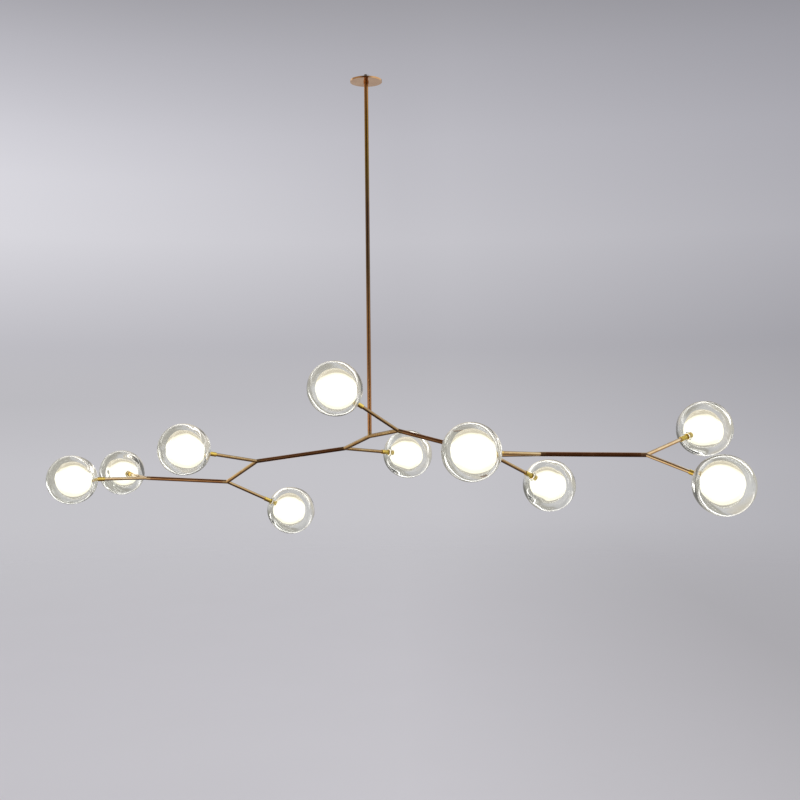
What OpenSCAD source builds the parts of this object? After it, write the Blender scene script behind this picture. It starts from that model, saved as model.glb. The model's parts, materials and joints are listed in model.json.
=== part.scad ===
// Branching rod chandelier: one drop rod, two chains of forked brass tube that turn on swivels,
// and ten double glass balls, each a clear outer ball round a lit opal ball.
// Millimetres. The origin is the middle of the ceiling plane, +Z is up, +X is to the right as
// one faces it and +Y is away from the viewer.

/* [Hanging] */
// from the ceiling down to the middle of the centre hub
drop = 1030; // [500:10:2000]
// outside diameter of the drop rod
rod_d = 12; // [10:0.5:20]
// diameter of the canopy plate
canopy_d = 92; // [80:1:160]
// depth of the canopy below the ceiling
canopy_h = 5; // [4.5:0.1:30]
// sheet thickness of the canopy
canopy_wall = 1.2; // [0.8:0.1:2]
// length of the crossbar behind the canopy
bar_length = 78; // [74:1:79]
// width of the crossbar
bar_w = 22; // [20:1:30]
// thickness of the crossbar
bar_t = 2; // [1.5:0.1:3]
// distance between the two mounting slots
slot_spacing = 56; // [50:1:58]
// length of a mounting slot, end to end
slot_l = 12; // [6:1:14]
// width of a mounting slot
slot_w = 4.4; // [3.5:0.1:6]
// outside diameter of the threaded ceiling sleeve
sleeve_d = 12; // [11:0.5:14]
// diameter of the flange that clamps the canopy to the crossbar
sleeve_flange_d = 20; // [17:0.5:24]
// height of the sleeve above the ceiling
sleeve_rise = 12; // [9:0.5:30]
// height of the lock nut above the crossbar
nut_h = 6; // [4:0.5:8]
// width across flats of the lock nut
nut_af = 19; // [18:0.5:24]
// height of the collar under the canopy
collar_h = 4; // [3:0.5:10]
// diameter of the collar under the canopy
collar_d = 15; // [15:0.5:24]
// diameter of the pivot that the rod turns on
pivot_d = 8; // [7:0.5:9]
// diameter of the pivot's head
pivot_head_d = 14; // [11:0.5:16]
// thickness of the pivot's head
pivot_head_h = 4; // [2:0.5:8]

/* [Tubes] */
// outside diameter of the stems and links
stem_d = 12; // [10:0.5:16]
// outside diameter of the ball arms
arm_d = 10; // [8.5:0.5:12]
// wall of every tube
tube_wall = 1; // [0.6:0.1:1.4]
// length of each leg of a hub, from its middle
hub_leg = 14; // [12:1:22]
// how far a hub's spigot goes into a tube
spigot_l = 12; // [8:1:20]
// how far a swivel spigot goes into its tube
swivel_l = 22; // [18:1:30]
// how much each further leg of a hub is turned down, for a crisp corner
leg_step = 0.2; // [0.1:0.05:0.4]

/* [Layout] */
// angle between the two arms of every fork
fork_angle = 90; // [80:1:110]
// from the centre hub to the first fork on each side
centre_arm = 130; // [100:5:200]
// from fork to fork along a stem
stem_length = 270; // [200:5:400]
// from fork to fork along a link with a swivel
link_length = 190; // [140:5:260]
// from a fork to the middle of its ball
arm_length = 240; // [220:5:320]
// compass angle of the left centre arm, from +X towards +Y
left_heading = 129; // [100:0.5:150]
// slope of the left centre arm
left_slope = -17.5; // [-30:0.5:10]
// roll of the left inner branch about its swivel
left_inner_roll = -83.5; // [-120:0.5:-60]
// twist between the two forks of the left inner branch
left_inner_twist = 186.5; // [170:0.5:200]
// roll of the left outer branch about its swivel
left_outer_roll = -62.5; // [-90:0.5:-40]
// twist between the two forks of the left outer branch
left_outer_twist = -34.5; // [-60:0.5:0]
// compass angle of the right centre arm, from +X towards +Y
right_heading = -50; // [-70:0.5:-30]
// slope of the right centre arm
right_slope = 8; // [-10:0.5:20]
// roll of the right inner branch about its swivel
right_inner_roll = -120; // [-140:0.5:-90]
// twist between the two forks of the right inner branch
right_inner_twist = 188.5; // [170:0.5:200]
// roll of the right outer branch about its swivel
right_outer_roll = -93.5; // [-120:0.5:-70]
// twist between the two forks of the right outer branch
right_outer_twist = 26.5; // [0:0.5:60]

/* [Glass balls] */
// diameter of the clear ball
ball_d = 150; // [130:1:180]
// mean wall of the clear ball
ball_wall = 4.5; // [3:0.1:8]
// how much the far wall of the clear ball is thicker than the mean
ball_bottom = 1.5; // [0:0.1:3]
// diameter of the opal ball
opal_d = 100; // [80:1:110]
// wall of the opal ball
opal_wall = 3; // [2:0.1:5]
// how far the opal ball sits from the clear ball's middle towards the arm
opal_offset = 10; // [2:0.5:12]
// bore of the glass neck
neck_bore = 15.4; // [14.8:0.1:19]
// wall of the glass neck
neck_wall = 2; // [1.5:0.1:3]

/* [Lamp cups] */
// length of the brass sleeve outside the clear ball
cup_sleeve_l = 28; // [18:1:45]
// diameter of that sleeve
cup_sleeve_d = 13; // [12.6:0.1:14.4]
// thickness of the lip that covers the glass neck
lip_t = 1.5; // [1:0.1:4]
// how far the arm tube goes into the sleeve
cup_socket = 12; // [8:1:16]
// height of the flared part in front of the opal ball
cup_flare = 5; // [4:0.5:8]
// how far the cup goes into the opal ball
cup_seat = 3; // [2:0.5:6]
// diameter of the ceramic lamp holder
holder_d = 13; // [11:0.5:14]
// length of the ceramic lamp holder
holder_l = 14; // [10:1:18]
// diameter of the lamp
lamp_d = 12; // [9:0.5:14]
// length of the lamp outside its holder
lamp_l = 36; // [20:1:45]

/* [Fits] */
// clearance on each side of a spigot, pivot or plug
slip = 0.05; // [0.02:0.01:0.1]
// gap left open at each swivel seam
seam = 0.4; // [0.2:0.1:1]
// gap between pieces that turn past each other
turn_gap = 0.2; // [0.1:0.05:0.4]

/* [Hidden] */
$fn = 40;
half = fork_angle / 2;
stem_bore = stem_d - 2 * tube_wall;
arm_bore = arm_d - 2 * tube_wall;
rod_bore = rod_d - 2 * tube_wall;
wire_d = 5;
junction_d = 1.7 * wire_d;
leg_root = 1;
leg_twist = 0.37;
fits = 2 * slip;
groove_d = stem_bore - 2;
groove_w = 3.6;
screw_d = 3;
screw_at = swivel_l / 2;
lower_face = -canopy_h - collar_h;
rod_top = lower_face - seam;
mid_link = link_length / 2;

// distances along a ball's arm, from the middle of its fork
ball_r = ball_d / 2;
neck_r = neck_bore / 2;
neck_outer = neck_r + neck_wall;
seat_r = neck_r + 0.9;
seat_z = arm_length - sqrt(pow(ball_r, 2) - pow(seat_r, 2));
rim_r = neck_outer + 1;
rim_z = arm_length - opal_offset - sqrt(pow(opal_d / 2, 2) - pow(rim_r, 2));
cup_z = seat_z - turn_gap - cup_sleeve_l;
lip_d = neck_bore + 1.4;
cup_d = neck_bore - 2 * turn_gap;
cup_end = rim_z + cup_seat;
holder_end = cup_end + holder_l;
pin_d = 8;
pin_l = 8;

function unit(v) = v / norm(v);

// v turned by angle a about the unit axis k
function turned(k, a, v) = v * cos(a) + cross(k, v) * sin(a) + k * (k * v) * (1 - cos(a));

// the direction square to k that points most nearly up
function upward(k) = unit([0, 0, 1] - k[2] * k);

// where a stem goes when its fork is reached along d and rolled about d
function stem_from(d, roll) = cos(half) * d + sin(half) * turned(d, roll, upward(d));

// the free arm of that fork lies as far to the other side of the stem's line
function arm_from(d, s) = d - 2 * cos(half) * s;

// direction square to the stem s in the plane of the fork at its far end
function spread(d, s, twist) = turned(s, twist, cross(unit(cross(d, s)), s));

// One side of the chandelier, as points and directions:
// [start, centre arm, fork 1, stem 1, arm 1, fork 2, link, arm 2,
//  fork 3, stem 2, arm 3, fork 4, arm 4, arm 5]
function chain(heading, slope, roll_1, twist_1, roll_2, twist_2) =
    let (a = [0, 0, -drop],
         d = [cos(slope) * cos(heading), cos(slope) * sin(heading), sin(slope)],
         f1 = a + centre_arm * d,
         s1 = stem_from(d, roll_1),
         g1 = arm_from(d, s1),
         f2 = f1 + stem_length * s1,
         m1 = spread(d, s1, twist_1),
         k = cos(half) * s1 + sin(half) * m1,
         g2 = cos(half) * s1 - sin(half) * m1,
         f3 = f2 + link_length * k,
         s2 = stem_from(k, roll_2),
         g3 = arm_from(k, s2),
         f4 = f3 + stem_length * s2,
         m2 = spread(k, s2, twist_2),
         g4 = cos(half) * s2 + sin(half) * m2,
         g5 = cos(half) * s2 - sin(half) * m2)
    [a, d, f1, s1, g1, f2, k, g2, f3, s2, g3, f4, g4, g5];

left = chain(left_heading, left_slope, left_inner_roll, left_inner_twist, left_outer_roll,
             left_outer_twist);
right = chain(right_heading, right_slope, right_inner_roll, right_inner_twist, right_outer_roll,
              right_outer_twist);

// fork and direction of each ball's arm
inner_arms = [[2, 4], [5, 7]];
outer_arms = [[8, 10], [11, 12], [11, 13]];
arms = concat([for (i = inner_arms) [left[i[0]], left[i[1]]]],
              [for (i = outer_arms) [left[i[0]], left[i[1]]]],
              [for (i = inner_arms) [right[i[0]], right[i[1]]]],
              [for (i = outer_arms) [right[i[0]], right[i[1]]]]);

brass = [0.74, 0.56, 0.33];
dark_brass = [0.55, 0.38, 0.2];
steel = [0.7, 0.71, 0.73];
ceramic = [0.92, 0.91, 0.88];
clear = [0.85, 0.9, 0.9, 0.3];
opal = [1, 0.98, 0.93];

// children stand at p with their +Z along d
module along(p, d) {
    translate(p)
        rotate([0, acos(d[2]), atan2(d[1], d[0])])
            children();
}

// a straight ring of material between two heights
module ring(od, id, low, high) {
    translate([0, 0, low])
        difference() {
            cylinder(d = od, h = high - low);
            translate([0, 0, -1])
                cylinder(d = id, h = high - low + 2);
        }
}

// the canopy is a shallow spun pan, open upwards
module canopy() {
    color(brass)
        difference() {
            translate([0, 0, -canopy_h])
                cylinder(d = canopy_d, h = canopy_h);
            translate([0, 0, -canopy_h + canopy_wall])
                cylinder(d = canopy_d - 2 * canopy_wall, h = canopy_h);
            translate([0, 0, -canopy_h - 1])
                cylinder(d = sleeve_d + fits, h = canopy_wall + 2);
        }
}

// the crossbar lies against the ceiling, with a slot near each end
module crossbar() {
    color(steel)
        difference() {
            translate([-bar_length / 2, -bar_w / 2, -bar_t])
                cube([bar_length, bar_w, bar_t]);
            translate([0, 0, -bar_t - 1])
                cylinder(d = sleeve_d + fits, h = bar_t + 2);
            for (x = [-1, 1] * slot_spacing / 2)
                translate([x, 0, -bar_t - 1])
                    slot(bar_t + 2);
        }
}

module slot(h) {
    run = (slot_l - slot_w) / 2;
    for (x = [-run, run])
        translate([x, 0, 0])
            cylinder(d = slot_w, h = h);
    translate([-run, -slot_w / 2, 0])
        cube([2 * run, slot_w, h]);
}

// the sleeve hangs from the crossbar by its lock nut, and its flange clamps the canopy's floor
module ceiling_sleeve() {
    color(steel)
        difference() {
            union() {
                translate([0, 0, lower_face])
                    cylinder(d = sleeve_d, h = sleeve_rise - lower_face);
                translate([0, 0, -canopy_h + canopy_wall])
                    cylinder(d = sleeve_flange_d, h = canopy_h - canopy_wall - bar_t);
            }
            translate([0, 0, lower_face - 1])
                cylinder(d = pivot_d + fits, h = sleeve_rise - lower_face + 2);
        }
}

module lock_nut() {
    color(steel)
        difference() {
            cylinder(d = nut_af / cos(30), h = nut_h, $fn = 6);
            translate([0, 0, -1])
                cylinder(d = sleeve_d + fits, h = nut_h + 2);
        }
}

module canopy_collar() {
    color(dark_brass)
        ring(collar_d, sleeve_d + fits, lower_face, -canopy_h);
}

// tube from below the pivot's shoulder down to the centre hub
module drop_rod() {
    color(dark_brass)
        ring(rod_d, rod_bore, -drop + hub_leg, rod_top);
}

// hollow pivot: its plug is fixed in the rod and its head hangs on the top of the sleeve
module rod_pivot() {
    color(steel)
        difference() {
            union() {
                translate([0, 0, rod_top - swivel_l])
                    cylinder(d = rod_bore - fits, h = swivel_l);
                translate([0, 0, rod_top - 1])
                    cylinder(d = pivot_d, h = sleeve_rise - rod_top + 2);
                translate([0, 0, sleeve_rise + turn_gap])
                    cylinder(d = pivot_head_d, h = pivot_head_h);
            }
            translate([0, 0, rod_top - swivel_l - 1])
                cylinder(d = wire_d, h = swivel_l - rod_top + sleeve_rise + pivot_head_h + 4);
        }
}

// children stand with their +Z along d and their +X towards x
module framed(d, x) {
    u = unit(x - (x * d) * d);
    v = cross(d, u);
    multmatrix([[u[0], v[0], d[0], 0],
                [u[1], v[1], d[1], 0],
                [u[2], v[2], d[2], 0],
                [0, 0, 0, 1]])
        children();
}

// a leg of a hub with its spigot: it runs on a little past the middle, into the other legs
module leg(d, next, od, spigot_d, spigot) {
    n = unit(cross(next, d));
    framed(d, n + leg_twist * cross(n, d)) {
        translate([0, 0, -leg_root])
            cylinder(d = od, h = hub_leg + leg_root);
        translate([0, 0, hub_leg - 1])
            cylinder(d = spigot_d, h = spigot + 1);
    }
}

// wire ways from the middle of a hub out through its spigots
module wire_ways(list, l) {
    n = unit(cross(list[0], list[1]));
    framed(n, -list[0])
        sphere(d = junction_d);
    for (d = list)
        framed(d, n)
            translate([0, 0, wire_d * 0.6])
                cylinder(d = wire_d, h = l);
}

// groove that the swivel screw runs in
module swivel_groove(d, at) {
    along([0, 0, 0], d)
        ring(stem_bore + 2, groove_d, at - groove_w / 2, at + groove_w / 2);
}

// the rod's lower end meets the two centre arms, each on a swivel spigot
module centre_hub() {
    up = [0, 0, 1];
    a = left[1];
    b = right[1];
    color(brass)
        translate(left[0])
            difference() {
                union() {
                    leg(up, a, rod_d, rod_bore - fits, spigot_l);
                    leg(a, b, stem_d - leg_step, stem_bore - fits, swivel_l);
                    leg(b, up, stem_d - 2 * leg_step, stem_bore - fits, swivel_l);
                }
                wire_ways([up, a, b], hub_leg + swivel_l + 1);
                for (d = [a, b])
                    swivel_groove(d, hub_leg + screw_at);
            }
}

// flush three-legged casting: each leg is [direction, diameter, bore of its tube]
module fork_hub(p, legs) {
    color(brass)
        translate(p)
            difference() {
                union()
                    for (i = [0, 1, 2])
                        leg(legs[i][0], legs[(i + 1) % 3][0], legs[i][1], legs[i][2] - fits,
                            spigot_l);
                wire_ways([for (l = legs) l[0]], hub_leg + spigot_l + 1);
            }
}

module inner_hubs(c) {
    fork_hub(c[2], [[c[3], stem_d, stem_bore],
                    [-c[1], stem_d - leg_step, stem_bore],
                    [c[4], arm_d, arm_bore]]);
    fork_hub(c[5], [[-c[3], stem_d, stem_bore],
                    [c[6], stem_d - leg_step, stem_bore],
                    [c[7], arm_d, arm_bore]]);
}

module outer_hubs(c) {
    fork_hub(c[8], [[c[9], stem_d, stem_bore],
                    [-c[6], stem_d - leg_step, stem_bore],
                    [c[10], arm_d, arm_bore]]);
    fork_hub(c[11], [[-c[9], stem_d, stem_bore],
                     [c[12], arm_d, arm_bore],
                     [c[13], arm_d - leg_step, arm_bore]]);
}

// hole for the swivel screw, square to the tube
module screw_hole(at) {
    translate([0, 0, at])
        rotate([0, -90, 0])
            cylinder(d = screw_d + fits, h = stem_d, $fn = 32);
}

// grub screw flush with the tube, its tip just clear of the bottom of the groove
module swivel_screw(p, d, at) {
    color(steel)
        along(p, d)
            translate([0, 0, at])
                rotate([0, -90, 0])
                    translate([0, 0, groove_d / 2 + turn_gap])
                        cylinder(d = screw_d, h = (stem_d - groove_d) / 2 - turn_gap - 0.3, $fn = 32);
}

// the tube over the centre hub's spigot, and the half link with the next swivel's spigot
module inner_links(c) {
    color(brass) {
        along(c[0], c[1])
            difference() {
                ring(stem_d, stem_bore, hub_leg + seam, centre_arm - hub_leg);
                screw_hole(hub_leg + screw_at);
            }
        along(c[5], c[6])
            difference() {
                union() {
                    translate([0, 0, hub_leg])
                        cylinder(d = stem_d, h = mid_link - seam / 2 - hub_leg);
                    translate([0, 0, hub_leg])
                        cylinder(d = stem_bore - fits, h = mid_link - hub_leg + swivel_l);
                }
                translate([0, 0, hub_leg - 1])
                    cylinder(d = wire_d, h = mid_link + swivel_l);
                translate([0, 0, hub_leg - 1])
                    cylinder(d = stem_bore, h = spigot_l + 1.5);
                ring(stem_bore + 2, groove_d, mid_link + screw_at - groove_w / 2,
                     mid_link + screw_at + groove_w / 2);
            }
    }
}

module outer_link(c) {
    color(brass)
        along(c[5], c[6])
            difference() {
                ring(stem_d, stem_bore, mid_link + seam / 2, link_length - hub_leg);
                screw_hole(mid_link + screw_at);
            }
}

module stem(p, d) {
    color(brass)
        along(p, d)
            ring(stem_d, stem_bore, hub_leg, stem_length - hub_leg);
}

module ball_arms(list) {
    color(brass)
        for (a = list)
            along(a[0], a[1])
                ring(arm_d, arm_bore, hub_leg, cup_z + cup_socket);
}

// turned cup: a sleeve on the arm, a slim neck through the glass and a flared seat for the opal
module lamp_cups(list) {
    color(brass)
        for (a = list)
            along(a[0], a[1])
                rotate_extrude()
                    polygon([[wire_d / 2, cup_z + cup_socket],
                             [arm_d / 2 + slip, cup_z + cup_socket],
                             [arm_d / 2 + slip, cup_z],
                             [cup_sleeve_d / 2, cup_z],
                             [cup_sleeve_d / 2, seat_z - turn_gap - lip_t],
                             [lip_d / 2, seat_z - turn_gap - lip_t],
                             [lip_d / 2, seat_z - turn_gap],
                             [arm_d / 2, seat_z - turn_gap],
                             [arm_d / 2, rim_z - cup_flare],
                             [cup_d / 2 - 0.6, rim_z - cup_flare + 2.4],
                             [cup_d / 2, rim_z - cup_flare + 3.4],
                             [cup_d / 2, cup_end],
                             [wire_d / 2, cup_end]]);
}

// ceramic lamp holder with a pocket for the lamp's base
module lamp_holders(list) {
    color(ceramic)
        for (a = list)
            along(a[0], a[1])
                difference() {
                    ring(holder_d, 3, cup_end, holder_end);
                    translate([0, 0, holder_end - pin_l])
                        cylinder(d = pin_d + fits, h = pin_l + 1);
                }
}

module lamps(list) {
    color(opal)
        for (a = list)
            along(a[0], a[1]) {
                translate([0, 0, holder_end - pin_l])
                    cylinder(d = pin_d, h = pin_l + 1);
                translate([0, 0, holder_end])
                    cylinder(d = lamp_d, h = lamp_l - lamp_d / 2);
                translate([0, 0, holder_end + lamp_l - lamp_d / 2])
                    sphere(d = lamp_d);
            }
}

// clear ball, thicker at the far end, with a neck turned inwards to the opal ball
module clear_ball(i) {
    cavity_r = ball_r - ball_wall;
    color(clear)
        along(arms[i][0], arms[i][1])
            difference() {
                union() {
                    difference() {
                        translate([0, 0, arm_length])
                            sphere(d = ball_d, $fn = 96);
                        translate([0, 0, arm_length - ball_bottom])
                            sphere(r = cavity_r, $fn = 96);
                    }
                    translate([0, 0, seat_z])
                        cylinder(r = neck_outer, h = rim_z - seat_z);
                }
                translate([0, 0, seat_z - 20])
                    cylinder(r = neck_r, h = rim_z - seat_z + 40);
                translate([0, 0, seat_z - 20])
                    cylinder(r = neck_outer + 10, h = 20);
            }
}

// opal ball, cut flat where it is fused to the clear neck
module opal_ball(i) {
    color(opal)
        along(arms[i][0], arms[i][1])
            difference() {
                translate([0, 0, arm_length - opal_offset])
                    sphere(d = opal_d, $fn = 96);
                translate([0, 0, arm_length - opal_offset])
                    sphere(d = opal_d - 2 * opal_wall, $fn = 96);
                translate([0, 0, rim_z - 20])
                    cylinder(r = rim_r + 6, h = 20);
                translate([0, 0, rim_z - 20])
                    cylinder(r = neck_r, h = 40);
            }
}

left_inner = [for (i = [0, 1]) arms[i]];
left_outer = [for (i = [2, 3, 4]) arms[i]];
right_inner = [for (i = [5, 6]) arms[i]];
right_outer = [for (i = [7, 8, 9]) arms[i]];

canopy();
crossbar();
ceiling_sleeve();
lock_nut();
canopy_collar();
drop_rod();
rod_pivot();
centre_hub();
inner_hubs(left);  // left_inner_hubs
inner_links(left);  // left_inner_links
stem(left[2], left[3]);  // left_inner_stem
ball_arms(left_inner);  // left_inner_arms
lamp_cups(left_inner);  // left_inner_cups
lamp_holders(left_inner);  // left_inner_holders
lamps(left_inner);  // left_inner_lamps
swivel_screw(left[0], left[1], hub_leg + screw_at);  // left_inner_screw
outer_hubs(left);  // left_outer_hubs
outer_link(left);  // left_outer_link
stem(left[8], left[9]);  // left_outer_stem
ball_arms(left_outer);  // left_outer_arms
lamp_cups(left_outer);  // left_outer_cups
lamp_holders(left_outer);  // left_outer_holders
lamps(left_outer);  // left_outer_lamps
swivel_screw(left[5], left[6], mid_link + screw_at);  // left_outer_screw
inner_hubs(right);  // right_inner_hubs
inner_links(right);  // right_inner_links
stem(right[2], right[3]);  // right_inner_stem
ball_arms(right_inner);  // right_inner_arms
lamp_cups(right_inner);  // right_inner_cups
lamp_holders(right_inner);  // right_inner_holders
lamps(right_inner);  // right_inner_lamps
swivel_screw(right[0], right[1], hub_leg + screw_at);  // right_inner_screw
outer_hubs(right);  // right_outer_hubs
outer_link(right);  // right_outer_link
stem(right[8], right[9]);  // right_outer_stem
ball_arms(right_outer);  // right_outer_arms
lamp_cups(right_outer);  // right_outer_cups
lamp_holders(right_outer);  // right_outer_holders
lamps(right_outer);  // right_outer_lamps
swivel_screw(right[5], right[6], mid_link + screw_at);  // right_outer_screw
clear_ball(0);  // clear_ball_1
clear_ball(1);  // clear_ball_2
clear_ball(2);  // clear_ball_3
clear_ball(3);  // clear_ball_4
clear_ball(4);  // clear_ball_5
clear_ball(5);  // clear_ball_6
clear_ball(6);  // clear_ball_7
clear_ball(7);  // clear_ball_8
clear_ball(8);  // clear_ball_9
clear_ball(9);  // clear_ball_10
opal_ball(0);  // opal_ball_1
opal_ball(1);  // opal_ball_2
opal_ball(2);  // opal_ball_3
opal_ball(3);  // opal_ball_4
opal_ball(4);  // opal_ball_5
opal_ball(5);  // opal_ball_6
opal_ball(6);  // opal_ball_7
opal_ball(7);  // opal_ball_8
opal_ball(8);  // opal_ball_9
opal_ball(9);  // opal_ball_10
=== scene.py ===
# A lit chandelier: forked brass tubes on swivels, with ten clear glass balls round opal ones.
# Metres, in the frame of the CAD model: the origin is on the ceiling, +Z is up and the viewer
# looks along +Y.
import json
import math

import bmesh
import bpy
from mathutils import Matrix, Vector, noise


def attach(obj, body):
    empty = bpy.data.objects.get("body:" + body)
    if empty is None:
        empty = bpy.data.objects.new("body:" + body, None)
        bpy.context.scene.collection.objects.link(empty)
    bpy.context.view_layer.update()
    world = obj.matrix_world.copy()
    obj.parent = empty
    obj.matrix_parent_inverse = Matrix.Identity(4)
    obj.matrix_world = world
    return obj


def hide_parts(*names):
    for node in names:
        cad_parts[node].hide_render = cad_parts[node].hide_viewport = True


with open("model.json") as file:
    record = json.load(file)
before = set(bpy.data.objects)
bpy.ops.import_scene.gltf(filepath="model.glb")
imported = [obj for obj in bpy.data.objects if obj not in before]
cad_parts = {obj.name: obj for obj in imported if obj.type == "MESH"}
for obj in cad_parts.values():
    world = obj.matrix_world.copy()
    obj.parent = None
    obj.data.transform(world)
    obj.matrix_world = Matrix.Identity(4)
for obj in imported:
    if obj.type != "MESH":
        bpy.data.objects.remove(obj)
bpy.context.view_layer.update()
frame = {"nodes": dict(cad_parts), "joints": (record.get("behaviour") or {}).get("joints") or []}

# Camera, fitted to the hubs and balls of the photograph
PHOTO_SIZE = 800
FOCAL_PX = 1050
SENSOR_MM = 36.0
CAMERA_AT = (0.0888, -3.0399, -0.9261)
CAMERA_ROLL = math.radians(-0.59)
CAMERA_REACH = 60

# Clear ball: its walls, its neck and the collar that stands round the cup's sleeve
BALL_R = 0.075
FOOT_R = 0.0722
THINNEST_WALL = 0.0022
NECK_R = 0.0077
NECK_OUTER = 0.0097
SEAT_RIM = 0.0009
COLLAR_R = 0.0094
COLLAR_H = 0.0036
COLLAR_SPREAD = 0.92
CORNER = 0.0007
MOUTH_BEVEL = 0.0004
INNER_LIP_H = 0.0016
INNER_LIP_FLARE = 0.003

# Cavity of the clear ball: an egg, and a flatter dome where the ball's far side faces the front.
# The dome sets in between two values of the cosine of the arm's angle to the front.
CAVITY_R = 0.064
CAVITY_LONG = 0.0722
LONG_WAY = Vector((-0.6, 0.0, 0.8))
FRONT_WAY = Vector((0.0, -1.0, 0.0))
FRONT_TURN = (-0.2, 0.4)
DOME_R = 0.116
DOME_AT = 0.054
DOME_BLEND = 0.004

# Waves of the blown glass: each kind of ball has its swell and the depth of its facets. The
# layers are the noise's falloff, spacing and number of octaves.
WAVY_BALLS = (2, 4, 5)
WAVY_GLASS = (0.0009, 0.0009)
CALM_GLASS = (0.0004, 0.0002)
OUTER_WAVE = 0.0006
WAVE_SCALE = 1.7
WAVE_LAYERS = (1.0, 2.0, 2)
WAVE_SEED = (13.7, 5.1, 2.9)
FACET_SCALE = 2.2
FACET_LEVEL = 0.15

# The walls turn plain towards the neck, between two heights on a ball of radius 1. The change is
# slower where the neck faces the front.
FOOT_PLAIN = -0.98
FOOT_SHAPED = -0.75
FOOT_SLOWER = 0.35

# Fineness of the meshes
ON_AXIS = 1e-6
BALL_SEGMENTS = 128
OUTER_STEPS = 72
INNER_STEPS = 96
CREASE_DEGREES = 50
FLOOR_SEGMENTS = 96

# Specks in the metal, as changes of its roughness
SPECK_SMOOTHER = 0.05
SPECK_ROUGHER = 0.08

# Light of the opal balls, as it is seen and as rough metal mirrors it
OPAL_STRENGTH = 1.3
OPAL_REFLECTED = 0.55

# Floor, soft box and room
FLOOR_Z = -2.6
FLOOR_R = 14.0
FADE_FROM = 2.5
FADE_RIM = 1
BOX_AT = (1.6, -3.2, 4.2)
BOX_AIM = (0.0, 0.0, -1.0)
BOX_SIZE = (3.0, 3.0)
BOX_WATTS = 110
BOX_COLOUR = (1.0, 0.99, 0.97)
ROOM_COLOUR = (1.0, 1.0, 1.02, 1)
ROOM_STRENGTH = 0.72

WHITE = (1, 1, 1, 1)
MIDDLE_GREY = (0.5, 0.5, 0.5, 1)


def srgb(r, g, b):
    """Linear colour of an sRGB colour given from 0 to 255."""
    def linear(v):
        v /= 255
        return v / 12.92 if v <= 0.04045 else ((v + 0.055) / 1.055) ** 2.4
    return (linear(r), linear(g), linear(b), 1.0)


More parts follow.
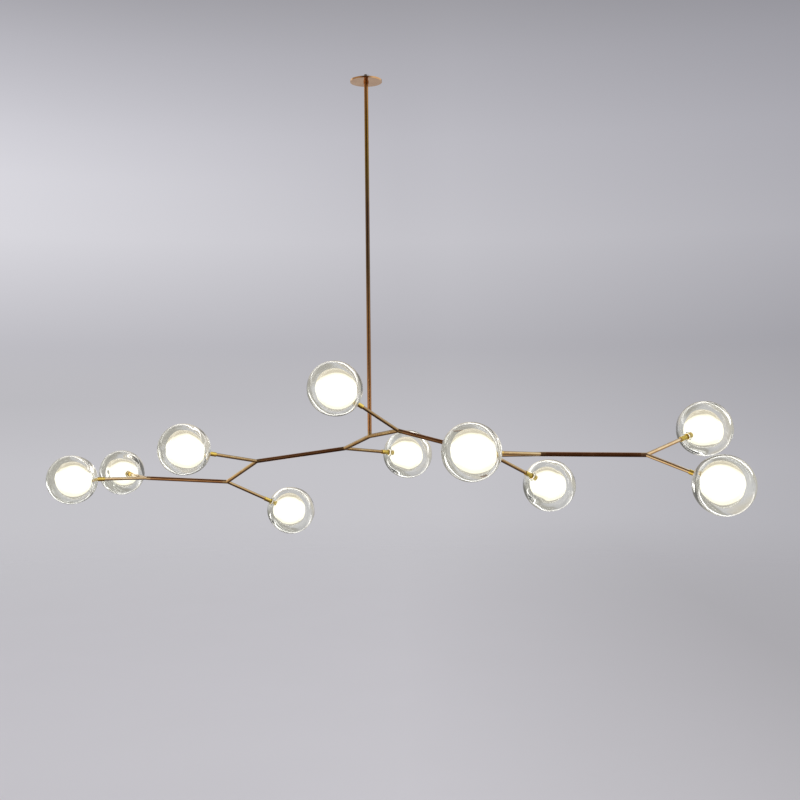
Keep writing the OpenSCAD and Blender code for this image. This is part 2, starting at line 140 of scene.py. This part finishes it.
class Tree:
    """Short calls for building a node tree."""

    def __init__(self, tree):
        self.tree = tree
        tree.nodes.clear()

    def add(self, kind, **values):
        node = self.tree.nodes.new(kind)
        for key, value in values.items():
            setattr(node, key, value)
        return node

    def link(self, a, b):
        self.tree.links.new(a, b)

    def put(self, socket, value):
        """A socket takes a number, a colour or another node's output."""
        if isinstance(value, bpy.types.NodeSocket):
            self.link(value, socket)
        else:
            socket.default_value = value

    def coords(self, kind):
        return self.add("ShaderNodeTexCoord").outputs[kind]

    def rays(self):
        """Outputs that are 1 for one kind of ray each."""
        return self.add("ShaderNodeLightPath").outputs

    def facing(self, blend):
        """0 where the surface faces the viewer, 1 where it is seen edge on."""
        node = self.add("ShaderNodeLayerWeight")
        self.put(node.inputs["Blend"], blend)
        return node.outputs["Facing"]

    def axes(self, vector):
        """The X, Y and Z of a vector."""
        node = self.add("ShaderNodeSeparateXYZ")
        self.link(vector, node.inputs[0])
        return node.outputs

    def length(self, vector):
        node = self.add("ShaderNodeVectorMath", operation="LENGTH")
        self.link(vector, node.inputs[0])
        return node.outputs["Value"]

    def flat(self, vector):
        """The vector without its height."""
        node = self.add("ShaderNodeVectorMath", operation="MULTIPLY")
        self.link(vector, node.inputs[0])
        self.put(node.inputs[1], (1.0, 1.0, 0.0))
        return node.outputs[0]

    def math(self, operation, a, b=0.0, clamp=False):
        node = self.add("ShaderNodeMath", operation=operation, use_clamp=clamp)
        self.put(node.inputs[0], a)
        self.put(node.inputs[1], b)
        return node.outputs[0]

    def times(self, a, b):
        return self.math("MULTIPLY", a, b)

    def most(self, a, b):
        return self.math("MAXIMUM", a, b)

    def span(self, value, low, high, to_low=0.0, to_high=1.0, shape="LINEAR"):
        """The value carried from one range to another and held at the ends."""
        node = self.add("ShaderNodeMapRange", interpolation_type=shape)
        self.put(node.inputs["Value"], value)
        self.put(node.inputs["From Min"], low)
        self.put(node.inputs["From Max"], high)
        self.put(node.inputs["To Min"], to_low)
        self.put(node.inputs["To Max"], to_high)
        return node.outputs[0]

    def band(self, value, rise, fall):
        """1 inside a band. Each edge is given as where it is 0 and where it is 1."""
        return self.times(self.span(value, *rise), self.span(value, *fall))

    def noise(self, vector, scale, detail=2.0, roughness=0.5):
        node = self.add("ShaderNodeTexNoise")
        self.put(node.inputs["Vector"], vector)
        self.put(node.inputs["Scale"], scale)
        self.put(node.inputs["Detail"], detail)
        self.put(node.inputs["Roughness"], roughness)
        return node.outputs["Fac"]

    def mix(self, factor, a, b, blend="MIX"):
        node = self.add("ShaderNodeMix", data_type="RGBA", blend_type=blend)
        self.put(node.inputs["Factor"], factor)
        self.put(node.inputs["A"], a)
        self.put(node.inputs["B"], b)
        return node.outputs["Result"]

    def tint(self, colour, by):
        return self.mix(1.0, colour, by, "MULTIPLY")

    def ramp(self, value, stops):
        """Colours at given places from -1 to 1."""
        node = self.add("ShaderNodeValToRGB")
        elements = node.color_ramp.elements
        while len(elements) < len(stops):
            elements.new(0.5)
        for element, (place, colour) in zip(elements, stops):
            element.position = 0.5 + place / 2
            element.color = colour
        self.put(node.inputs[0], self.span(value, -1.0, 1.0))
        return node.outputs[0]

    def bump(self, height, strength, distance):
        node = self.add("ShaderNodeBump")
        self.put(node.inputs["Height"], height)
        self.put(node.inputs["Strength"], strength)
        self.put(node.inputs["Distance"], distance)
        return node.outputs[0]

    def principled(self, values):
        node = self.add("ShaderNodeBsdfPrincipled")
        for name, value in values.items():
            self.put(node.inputs[name], value)
        return node.outputs[0]

    def background(self, colour, strength=1.0):
        node = self.add("ShaderNodeBackground")
        self.put(node.inputs["Color"], colour)
        self.put(node.inputs["Strength"], strength)
        return node.outputs[0]

    def choose(self, factor, a, b):
        """Shader a where the factor is 0, and shader b where it is 1."""
        node = self.add("ShaderNodeMixShader")
        self.put(node.inputs[0], factor)
        self.link(a, node.inputs[1])
        self.link(b, node.inputs[2])
        return node.outputs[0]

    def finish(self, shader, kind="ShaderNodeOutputMaterial"):
        self.link(shader, self.add(kind).inputs[0])


def new_material(name):
    m = bpy.data.materials.new(name)
    m.use_nodes = True
    return m, Tree(m.node_tree)


def metal(name, bright, dark, roughness, heights=None, outward=None):
    """Lacquered metal with cloudy tarnish and fine specks.

    heights tints it by its height and outward by its distance from the rod, both as stops
    from -1 to 1 metre. Both tints are painted light and shade.
    """
    m, t = new_material(name)
    coords = t.coords("Object")
    tarnish = t.noise(coords, scale=26.0, detail=4.0, roughness=0.6)
    specks = t.noise(coords, scale=900.0, roughness=0.6)
    colour = t.mix(t.span(tarnish, 0.3, 0.7), dark, bright)
    # painted shade and reflection, by height
    if heights:
        colour = t.tint(colour, t.ramp(t.axes(coords)["Z"], heights))
    # painted shade near the rod and painted light further out
    if outward:
        colour = t.tint(colour, t.ramp(t.length(t.flat(coords)), outward))
    smoothest = roughness - SPECK_SMOOTHER
    roughest = roughness + SPECK_ROUGHER
    t.finish(t.principled({
        "Base Color": colour,
        "Metallic": 1.0,
        "Roughness": t.span(specks, 0.0, 1.0, smoothest, roughest),
        "Normal": t.bump(specks, strength=0.05, distance=0.0002),
    }))
    return m


def opal_glass():
    """White glass lit from inside, creamy towards its edge, with painted shade that dims the
    caps at its top and bottom edge. Rough metal mirrors it less bright than it is."""
    m, t = new_material("opal_lit")
    lit, cream = srgb(255, 254, 249), srgb(240, 234, 210)
    # The second pair of colours is painted shade on the glow's top and bottom edge
    top_shade, bottom_shade = (0.43, 0.38, 0.28, 1), (0.28, 0.26, 0.22, 1)
    cloud = t.noise(t.coords("Object"), scale=30.0)
    uneven = t.math("ADD", cloud, 0.5)
    edge = t.math("MULTIPLY", t.facing(blend=0.35), uneven, clamp=True)
    height = t.times(t.axes(t.coords("Normal"))["Z"], t.facing(blend=0.5))
    off_middle = t.span(t.math("ABSOLUTE", height), 0.06, 0.26)
    # painted shade: the glow dims near the top and bottom of its edge
    shaded_top = t.span(height, 0.26, 0.34)
    shaded_bottom = t.span(height, -0.36, -0.46)
    glow = t.mix(t.most(edge, off_middle), lit, cream)
    glow = t.mix(shaded_top, glow, top_shade)
    glow = t.mix(shaded_bottom, glow, bottom_shade)
    rays = t.rays()
    mirrored = t.math("SUBTRACT", rays["Is Glossy Ray"], rays["Is Singular Ray"], clamp=True)
    t.finish(t.principled({
        "Base Color": (0.2, 0.2, 0.19, 1),
        "Roughness": 0.25,
        "Emission Color": glow,
        "Emission Strength": t.span(mirrored, 0, 1, OPAL_STRENGTH, OPAL_REFLECTED),
    }))
    return m


def clear_glass():
    """Clear glass with a faint green-grey tint, slow waves in its surface and a faint glow,
    which stands for the opal ball's light that it scatters."""
    m, t = new_material("clear_blown")
    tinted, clearest = (0.95, 0.965, 0.95, 1), (0.985, 0.985, 0.975, 1)
    coords = t.coords("Object")
    t.finish(t.principled({
        "Base Color": t.mix(t.noise(coords, scale=9.0, detail=1.0), tinted, clearest),
        "Roughness": 0.0,
        "IOR": 1.5,
        "Transmission Weight": 1.0,
        "Emission Color": (1.0, 0.99, 0.95, 1),
        "Emission Strength": 0.02,
        "Normal": t.bump(t.noise(coords, scale=22.0, detail=1.0), strength=0.02, distance=0.002),
    }))
    return m


def ceramic():
    """Faintly clouded white ceramic."""
    m, t = new_material("ceramic_white")
    cloud = t.noise(t.coords("Object"), scale=180.0, detail=3.0)
    t.finish(t.principled({
        "Base Color": t.mix(cloud, srgb(236, 233, 226), srgb(246, 244, 240)),
        "Roughness": 0.35,
    }))
    return m


# Painted shade and light: the brass of the arms gets lighter away from the rod, shaded near it
# and brighter than its own colour towards the ends
BRASS = metal("brass_polished", srgb(246, 222, 180), srgb(228, 190, 140), 0.16, outward=[
    (0.0, (0.52, 0.5, 0.46, 1)),
    (0.32, (0.52, 0.5, 0.46, 1)),
    (0.5, (0.75, 0.74, 0.7, 1)),
    (0.7, (0.97, 1.0, 1.05, 1)),
    (0.9, (1.06, 1.12, 1.28, 1)),
])
GOLD = metal("brass_bright", srgb(255, 232, 130), srgb(248, 212, 104), 0.3)
UMBER = metal("brass_umber", srgb(214, 172, 130), srgb(184, 138, 98), 0.14)
# Painted shade and reflection: the rod is darkest at mid height, and lighter towards the ceiling
# and its lower end
COPPER = metal("brass_copper", srgb(216, 168, 122), srgb(202, 154, 110), 0.26, heights=[
    (-0.96, (0.76, 0.70, 0.66, 1)),
    (-0.82, (0.46, 0.45, 0.45, 1)),
    (-0.68, (0.40, 0.40, 0.38, 1)),
    (-0.54, (0.21, 0.24, 0.26, 1)),
    (-0.39, (0.20, 0.22, 0.30, 1)),
    (-0.25, (0.30, 0.34, 0.16, 1)),
    (-0.11, (0.42, 0.42, 0.20, 1)),
    (0.0, (0.70, 0.60, 0.45, 1)),
])
ROSE = metal("brass_rose", srgb(216, 176, 132), srgb(194, 150, 108), 0.14)
STEEL = metal("steel_turned", srgb(190, 192, 196), srgb(150, 152, 158), 0.3)
OPAL = opal_glass()
CLEAR = clear_glass()
CERAMIC = ceramic()

NODE_MATERIALS = {
    "canopy": ROSE,
    "crossbar": STEEL,
    "ceiling_sleeve": STEEL,
    "lock_nut": STEEL,
    "canopy_collar": COPPER,
    "drop_rod": COPPER,
    "rod_pivot": STEEL,
}
ENDING_MATERIALS = {
    "hubs": BRASS,
    "hub": BRASS,
    "links": BRASS,
    "link": BRASS,
    "stem": UMBER,
    "arms": BRASS,
    "cups": GOLD,
    "holders": CERAMIC,
    "lamps": OPAL,
    "screw": STEEL,
}


def node_material(name):
    """A node's material, by its whole name or by the last word of it."""
    if name.startswith("clear_ball"):
        return CLEAR
    if name.startswith("opal_ball"):
        return OPAL
    return NODE_MATERIALS.get(name) or ENDING_MATERIALS[name.rsplit("_", 1)[-1]]


def dress(obj, m):
    obj.data.materials.clear()
    obj.data.materials.append(m)


def dress_nodes():
    for name, node in frame["nodes"].items():
        dress(node, node_material(name))


def piece(name, mesh_data, m, body):
    """A piece of one material that rides on a body."""
    obj = bpy.data.objects.new(name, mesh_data)
    bpy.context.scene.collection.objects.link(obj)
    dress(obj, m)
    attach(obj, body)
    return obj


def smooth(mesh, crease):
    """Smooth shading, except where faces meet at more than the crease's degrees."""
    for polygon in mesh.polygons:
        polygon.use_smooth = True
    mesh.set_sharp_from_angle(angle=math.radians(crease))


def arc(radius, end, steps):
    """Points [radius from the axis, height] from the top of a ball round to an angle."""
    angles = [end * i / steps for i in range(steps + 1)]
    return [(radius * math.sin(a), radius * math.cos(a)) for a in angles]


def lathe(profile, segments, shape):
    """A closed turned mesh; shape moves each point, given its side and its place."""
    bm = bmesh.new()
    rings = []
    for side, r, z in profile:
        count = 1 if r < ON_AXIS else segments
        angles = [2 * math.pi * k / segments for k in range(count)]
        places = [Vector((r * math.cos(a), r * math.sin(a), z)) for a in angles]
        rings.append([bm.verts.new(shape(side, place)) for place in places])
    for low, high in zip(rings, rings[1:]):
        for k in range(segments):
            n = (k + 1) % segments
            ends = ((low, k), (low, n), (high, n), (high, k))
            corners = [ring[i % len(ring)] for ring, i in ends]
            bm.faces.new(list(dict.fromkeys(corners)))
    bmesh.ops.recalc_face_normals(bm, faces=bm.faces)
    mesh_data = bpy.data.meshes.new("turned")
    bm.to_mesh(mesh_data)
    bm.free()
    return mesh_data


def smoothstep(value, low, high):
    x = min(1.0, max(0.0, (value - low) / (high - low)))
    return x * x * (3 - 2 * x)


def frame_of(axis):
    """A rotation that takes +Z to the arm's direction."""
    return Vector((0, 0, 1)).rotation_difference(Vector(axis)).to_matrix().to_4x4()


def cavity_radius(way, facing_front):
    """Distance from the ball's middle to its cavity, which is longer one way than the other.

    Where the far side of the ball faces the front, the front of the cavity is a flatter dome.
    """
    along = way.dot(LONG_WAY)
    egg = 1 / math.sqrt(along ** 2 / CAVITY_LONG ** 2 + (1 - along ** 2) / CAVITY_R ** 2)
    pole = egg + (DOME_AT - egg) * facing_front
    middle = FRONT_WAY * (pole - DOME_R)
    reach = way.dot(middle)
    dome = reach + math.sqrt(reach ** 2 + DOME_R ** 2 - middle.length_squared)
    return -DOME_BLEND * math.log(math.exp(-egg / DOME_BLEND) + math.exp(-dome / DOME_BLEND))


def ball_profile():
    """The outline of a clear ball as (side, radius, height): down its outside from the top, up
    through its neck, round the inner lip and up its inside."""
    seat = -math.sqrt(BALL_R ** 2 - (NECK_R + SEAT_RIM) ** 2)
    outer_end = math.pi - math.asin((COLLAR_R + CORNER) / BALL_R)
    inner_end = math.pi - math.asin((NECK_OUTER + INNER_LIP_FLARE) / FOOT_R)
    outside = arc(BALL_R, outer_end, OUTER_STEPS)
    inside = arc(FOOT_R, inner_end, INNER_STEPS)
    foot = inside[-1][1]
    neck = [
        (COLLAR_R, seat - COLLAR_H + CORNER),
        (COLLAR_R, seat),
        (NECK_R + MOUTH_BEVEL, seat),
        (NECK_R, seat + MOUTH_BEVEL),
        (NECK_R, foot + INNER_LIP_H),
        (NECK_OUTER, foot + INNER_LIP_H),
        (NECK_OUTER + CORNER, foot + CORNER),
    ]
    sides = (("out", outside), ("neck", neck), ("in", inside[::-1]))
    return [(side, r, z) for side, points in sides for r, z in points]


def blown_shape(index, axis):
    """How a ball's points move: the outside is drawn down to the collar and slightly wavy, and
    the inside gets the cavity's shape with swells and facets."""
    turned = frame_of(axis).to_3x3()
    facing_front = smoothstep(Vector(axis).dot(FRONT_WAY), *FRONT_TURN)
    foot_shaped = FOOT_SHAPED + FOOT_SLOWER * (1 - facing_front)
    swell, facets = WAVY_GLASS if index in WAVY_BALLS else CALM_GLASS
    seed_step, seed_y, seed_z = WAVE_SEED
    seed = Vector((seed_step * index, seed_y, seed_z))

    def shape(side, p):
        if side == "neck":
            return p
        way = p.normalized()
        fade = smoothstep(way.z, FOOT_PLAIN, foot_shaped)
        wave = noise.fractal(way * WAVE_SCALE + seed, *WAVE_LAYERS)
        if side == "out":
            p.z -= COLLAR_H * smoothstep(-way.z, 0.0, COLLAR_SPREAD)
            return p - way * OUTER_WAVE * fade * (0.5 + 0.5 * wave)
        cell = noise.voronoi(way * FACET_SCALE - seed)[0][0]
        r = cavity_radius(turned @ way, facing_front) + swell * wave
        r += facets * (cell ** 2 - FACET_LEVEL)
        return p + way * (min(r, BALL_R - THINNEST_WALL) - FOOT_R) * fade

    return shape


def blown_ball(index, centre, axis, body):
    """A hand blown clear ball, turned round its own middle with +Z away from the arm."""
    mesh_data = lathe(ball_profile(), BALL_SEGMENTS, blown_shape(index, axis))
    mesh_data.transform(Matrix.Translation(centre) @ frame_of(axis))
    smooth(mesh_data, CREASE_DEGREES)
    obj = piece("blown_ball_%02d" % index, mesh_data, CLEAR, body)
    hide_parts("clear_ball_%d" % index)


def blow_balls():
    """One ball at each joint that a ball unscrews on."""
    for joint in frame["joints"]:
        if joint["name"].startswith("globe_"):
            number = int(joint["name"].split("_")[1])
            blown_ball(number, Vector(joint["pos_m"]), joint["axis"], joint["child"])


def backdrop_colour(t, x, z):
    """The lavender-grey backdrop, darker at its top, lighter at its left and dimmer at its
    right."""
    middle = t.ramp(z, [
        (-0.34, srgb(199, 198, 202)),
        (-0.06, srgb(197, 196, 201)),
        (0.022, srgb(185, 184, 189)),
        (0.05, srgb(181, 180, 186)),
        (0.15, srgb(197, 196, 202)),
        (0.24, srgb(189, 188, 195)),
        (0.31, srgb(174, 173, 180)),
        (0.36, srgb(158, 157, 163)),
    ])
    left = t.ramp(z, [
        (0.0, WHITE),
        (0.05, (1.12, 1.12, 1.12, 1)),
        (0.2, (1.33, 1.33, 1.32, 1)),
        (0.36, (1.06, 1.06, 1.06, 1)),
    ])
    right = (0.8, 0.8, 0.81, 1)
    to_left, to_right = t.span(x, 0.0, -0.38), t.span(x, 0.05, 0.36)
    sides = t.mix(to_right, t.mix(to_left, WHITE, left), right)
    return t.tint(middle, sides)


def room_in_metal(t, x, y, z, backdrop):
    """What metal mirrors: a dark front, a warm left, a right that brightens upwards, a window
    at the left, a pale ceiling and the backdrop straight behind the object."""
    left = t.ramp(z, [
        (-0.7, (0.30, 0.22, 0.15, 1)),
        (-0.42, (0.72, 0.58, 0.42, 1)),
        (-0.2, (0.96, 0.82, 0.62, 1)),
        (0.1, (0.86, 0.76, 0.60, 1)),
        (0.35, (0.36, 0.27, 0.19, 1)),
        (0.6, (0.08, 0.05, 0.035, 1)),
    ])
    right = t.ramp(z, [
        (-0.65, (0.34, 0.26, 0.18, 1)),
        (-0.15, (0.46, 0.38, 0.28, 1)),
        (0.02, (0.72, 0.64, 0.54, 1)),
        (0.15, (1.0, 0.97, 0.9, 1)),
        (0.8, (1.05, 1.05, 1.0, 1)),
    ])
    front = t.ramp(z, [
        (-0.9, (0.05, 0.03, 0.02, 1)),
        (0.0, (0.08, 0.045, 0.03, 1)),
        (0.9, (0.10, 0.06, 0.04, 1)),
    ])
    window_light, ceiling_light = (1.1, 1.1, 1.05, 1), (0.8, 0.79, 0.74, 1)
    to_left, to_right = t.span(x, -0.25, -0.7), t.span(x, 0.25, 0.75)
    behind = t.span(y, 0.8, 0.95)
    window = t.times(t.span(x, -0.42, -0.5), t.span(z, 0.02, 0.14))
    window = t.times(window, t.span(y, 0.3, 0.5))
    ceiling = t.times(t.span(y, 0.25, 0.5), t.span(z, 0.6, 0.8))
    room = t.mix(to_left, front, left)
    room = t.mix(to_right, room, right)
    room = t.mix(window, room, window_light)
    room = t.mix(ceiling, room, ceiling_light)
    return t.mix(behind, room, backdrop)


def strip(t, x, z):
    """A thin bright arch high up, with a wide, faint patch at its left."""
    steepness, faint = 0.45, 0.25
    arch = t.math("ADD", z, t.times(t.math("ABSOLUTE", x), steepness))
    thin = t.band(arch, rise=(0.6, 0.62), fall=(0.71, 0.69))
    wide = t.band(z, rise=(0.26, 0.32), fall=(0.62, 0.58))
    wide = t.times(wide, t.span(x, -0.04, -0.16, to_high=faint))
    return t.most(thin, wide)


def room_in_glass(t, way, x, y, z):
    """What glass mirrors and bends: a grey room, olive at its sides, with small dark marks at
    both ends, a strip of light high up and the same strip turned half round low down."""
    heights = t.ramp(z, [
        (-0.7, srgb(160, 159, 154)),
        (-0.3, srgb(144, 141, 132)),
        (-0.14, srgb(150, 146, 138)),
        (-0.05, srgb(188, 187, 189)),
        (0.04, srgb(192, 190, 193)),
        (0.13, srgb(200, 191, 177)),
        (0.26, srgb(196, 188, 175)),
        (0.4, srgb(198, 189, 173)),
        (0.7, srgb(190, 185, 175)),
    ])
    olive, dark = srgb(160, 161, 148), (0.2, 0.2, 0.18, 1)
    strip_light = (3.0, 2.95, 2.8, 1)
    across = t.math("ABSOLUTE", x)
    to_sides, at_ends = t.span(across, 0.34, 0.6, to_high=0.45), t.span(across, 0.5, 0.65)
    marks = t.times(t.span(t.noise(way, scale=26.0), 0.65, 0.68), at_ends)
    strips = t.most(strip(t, x, z), strip(t, t.times(x, -1.0), t.times(z, -1.0)))
    strips = t.times(strips, t.span(y, 0.3, 0.45))
    room = t.mix(to_sides, heights, olive)
    room = t.mix(marks, room, dark)
    return t.mix(strips, room, strip_light)


def through_glass(t, rays):
    """1 for the rays that glass bends or mirrors."""
    return t.most(rays["Is Transmission Ray"], rays["Is Singular Ray"])


def make_world():
    """A pale room. The camera sees its backdrop, metal and glass each see a room of their own,
    and everything else is lit by one soft tone."""
    world = bpy.data.worlds.new("room")
    bpy.context.scene.world = world
    world.use_nodes = True
    t = Tree(world.node_tree)
    way = t.coords("Generated")
    x, y, z = t.axes(way)
    backdrop = backdrop_colour(t, x, z)
    in_metal = t.background(room_in_metal(t, x, y, z, backdrop))
    in_glass = t.background(room_in_glass(t, way, x, y, z))
    rays = t.rays()
    seen = t.background(ROOM_COLOUR, ROOM_STRENGTH)
    seen = t.choose(rays["Is Glossy Ray"], seen, in_metal)
    seen = t.choose(through_glass(t, rays), seen, in_glass)
    seen = t.choose(rays["Is Camera Ray"], seen, t.background(backdrop))
    t.finish(seen, "ShaderNodeOutputWorld")


def floor_material():
    """A pale, faintly clouded floor, dimmed to the right by painted shade, that fades out
    towards its rim. Metal and glass see the room through it."""
    m, t = new_material("floor_pale")
    coords = t.coords("Object")
    fade = t.span(t.length(coords), FADE_FROM, FLOOR_R - FADE_RIM, shape="SMOOTHSTEP")
    # painted shade: the floor darkens towards the right
    to_right = t.span(t.axes(coords)["X"], 0.1, 2.6)
    pale = t.mix(to_right, srgb(217, 215, 220), srgb(189, 187, 191))
    cloud = t.span(t.noise(coords, scale=1.5, detail=3.0), 0.0, 1.0, to_high=0.1)
    surface = t.principled({
        "Base Color": t.mix(cloud, pale, MIDDLE_GREY),
        "Roughness": 0.9,
        "Specular IOR Level": 0.1,
    })
    rays = t.rays()
    mirrored = t.most(rays["Is Glossy Ray"], through_glass(t, rays))
    gone = t.add("ShaderNodeBsdfTransparent").outputs[0]
    t.finish(t.choose(t.most(fade, mirrored), surface, gone))
    return m


def make_floor():
    """A round floor far below the chandelier."""
    bm = bmesh.new()
    bmesh.ops.create_circle(bm, cap_ends=True, radius=FLOOR_R, segments=FLOOR_SEGMENTS)
    mesh_data = bpy.data.meshes.new("floor")
    bm.to_mesh(mesh_data)
    bm.free()
    floor = bpy.data.objects.new("floor", mesh_data)
    floor.location = (0, 0, FLOOR_Z)
    bpy.context.scene.collection.objects.link(floor)
    dress(floor, floor_material())


def make_soft_box():
    """A soft box, high up at the camera's right, which metal and glass don't show."""
    data = bpy.data.lights.new("soft_box", "AREA")
    data.shape = "RECTANGLE"
    data.size, data.size_y = BOX_SIZE
    data.energy = BOX_WATTS
    data.color = BOX_COLOUR
    light = bpy.data.objects.new("soft_box", data)
    light.location = BOX_AT
    aim = Vector(BOX_AIM) - Vector(BOX_AT)
    light.rotation_euler = aim.to_track_quat("-Z", "Y").to_euler()
    light.visible_glossy = False
    light.visible_transmission = False
    bpy.context.scene.collection.objects.link(light)


def make_camera():
    """A level camera that looks along +Y, with a slight roll."""
    data = bpy.data.cameras.new("camera")
    data.sensor_width = SENSOR_MM
    data.lens = SENSOR_MM * FOCAL_PX / PHOTO_SIZE
    data.clip_end = CAMERA_REACH
    camera = bpy.data.objects.new("camera", data)
    camera.location = CAMERA_AT
    level = Matrix.Rotation(math.radians(90), 4, "X")
    camera.rotation_euler = (level @ Matrix.Rotation(CAMERA_ROLL, 4, "Z")).to_euler()
    bpy.context.scene.collection.objects.link(camera)
    bpy.context.scene.camera = camera


dress_nodes()
blow_balls()
make_camera()
make_world()
make_floor()
make_soft_box()
bpy.context.scene.view_settings.view_transform = "Standard"
